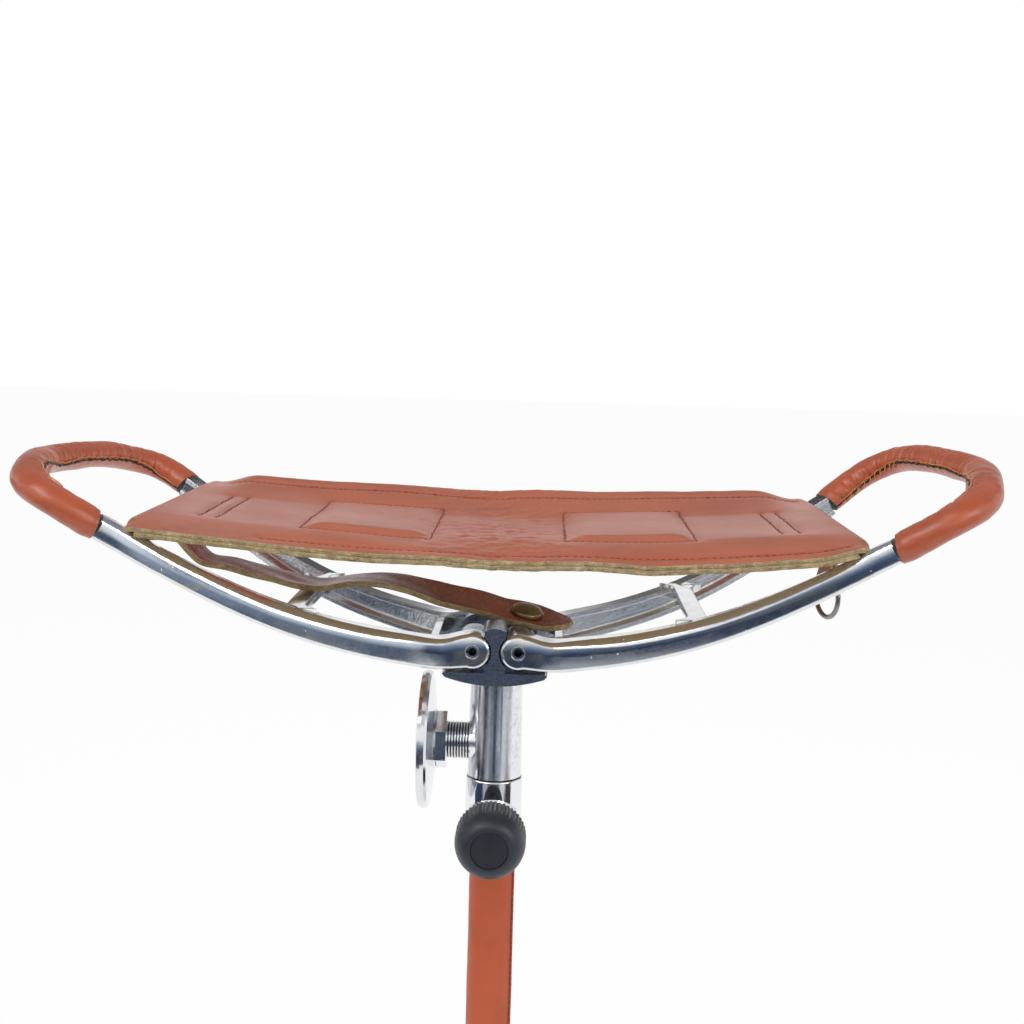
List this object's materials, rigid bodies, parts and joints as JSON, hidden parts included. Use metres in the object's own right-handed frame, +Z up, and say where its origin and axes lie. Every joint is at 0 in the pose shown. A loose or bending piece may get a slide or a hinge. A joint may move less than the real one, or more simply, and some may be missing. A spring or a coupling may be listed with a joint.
{
  "type": "walking stick seat",
  "caption": "Telescopic walking stick whose two leather-gripped bows fold out from a hub to carry a leather sling seat, with clamp knob, stored ground plate and rubber foot.",
  "frame": {"origin": "centre of the rubber ferrule's flat bottom, where the stick stands on the ground", "axes": "+Z up along the shaft, +X towards the right bow, +Y away from the clamp knob"},
  "size_m": [0.499, 0.2078, 0.6841],
  "materials": {
    "rubber": "moulded black rubber",
    "cast_alloy": "polished cast alloy",
    "brushed_alloy": "cast alloy, ground faces",
    "steel": "plain steel",
    "dark_steel": "darkened steel",
    "chrome": "bright plated",
    "tube_alloy": "drawn tube",
    "leather": "tan hide, light grain",
    "leather_edge": "raw split hide",
    "foam": "black foam and tape",
    "black_plastic": "moulded, satin",
    "bush_plastic": "natural nylon",
    "old_brass": "antique brass"
  },
  "bodies": {
    "shaft": {"rubber_ferrule": "rubber", "foot_casting": "cast_alloy", "ground_spike": "steel", "outer_tube": "tube_alloy", "shaft_leather": "leather", "guide_bush": "bush_plastic", "clamp_collar": "chrome"},
    "clamp_knob": {"clamp_screw": "steel", "knob_body": "black_plastic", "knob_cap": "black_plastic"},
    "head": {"inner_tube": "tube_alloy", "tube_end_bush": "bush_plastic", "hub_casting": "brushed_alloy", "hinge_pins": "steel"},
    "ground_plate": {"ground_plate": "cast_alloy"},
    "left_frame": {"left_bow": "cast_alloy", "left_grip_padding": "foam", "left_grip_cover": "leather", "left_seat_bar": "steel", "retaining_strap": "leather", "strap_stud_cap": "old_brass", "strap_stud_post": "old_brass", "strap_stud_socket": "old_brass"},
    "right_frame": {"right_bow": "cast_alloy", "right_grip_padding": "foam", "right_grip_cover": "leather", "right_seat_bar": "steel"},
    "left_seat": {"left_seat_panel": "leather", "left_seat_flap": "leather"},
    "right_seat": {"right_seat_panel": "leather", "right_seat_flap": "leather", "ring_tab": "leather"},
    "middle_seat": {"middle_seat_panel": "leather"},
    "carry_ring": {"carry_ring": "dark_steel"}
  },
  "joints": [
    {"name": "height_slide", "type": "slide", "parent": "shaft", "child": "head", "axis": [0, 0, 1], "range_m": [0, 0.11]},
    {"name": "clamp_knob_turn", "type": "hinge", "parent": "shaft", "child": "clamp_knob", "pos_m": [0, -0.03, 0.4812], "axis": [0, 1, 0], "range_deg": [0, 180]},
    {"name": "ground_plate_turn", "type": "hinge", "parent": "head", "child": "ground_plate", "pos_m": [-0.03, 0, 0.523], "axis": [1, 0, 0], "range_deg": [0, 360]},
    {"name": "left_fold", "type": "hinge", "parent": "head", "child": "left_frame", "pos_m": [-0.0115, 0, 0.58], "axis": [0, 1, 0], "range_deg": [0, 66], "deforming": ["retaining_strap", "strap_stud_cap", "strap_stud_post", "strap_stud_socket", "middle_seat_panel"]},
    {"name": "right_fold", "type": "hinge", "parent": "head", "child": "right_frame", "pos_m": [0.0115, 0, 0.58], "axis": [0, 1, 0], "range_deg": [-66, 0]},
    {"name": "left_seat_drop", "type": "hinge", "parent": "left_frame", "child": "left_seat", "pos_m": [-0.17, 0, 0.6415], "axis": [0, 1, 0], "range_deg": [0, 18.01]},
    {"name": "right_seat_drop", "type": "hinge", "parent": "right_frame", "child": "right_seat", "pos_m": [0.17, 0, 0.6415], "axis": [0, 1, 0], "range_deg": [-18.01, 0]},
    {"name": "middle_seat_drop", "type": "slide", "parent": "head", "child": "middle_seat", "axis": [0, 0, 1], "range_m": [-0.0271, 0]},
    {"name": "carry_ring_swing", "type": "hinge", "parent": "right_seat", "child": "carry_ring", "pos_m": [0.1715, 0, 0.6179], "axis": [-0.342, 0.9397, 0], "range_deg": [-70, 70]}
  ],
  "couplings": [
    {"joint": "right_fold", "follows": "left_fold", "ratio": -1},
    {"joint": "left_seat_drop", "follows": "left_fold", "ratio": 0.27273},
    {"joint": "right_seat_drop", "follows": "left_fold", "ratio": -0.27273},
    {"joint": "middle_seat_drop", "follows": "left_fold", "m_per_rad": -0.023439}
  ]
}
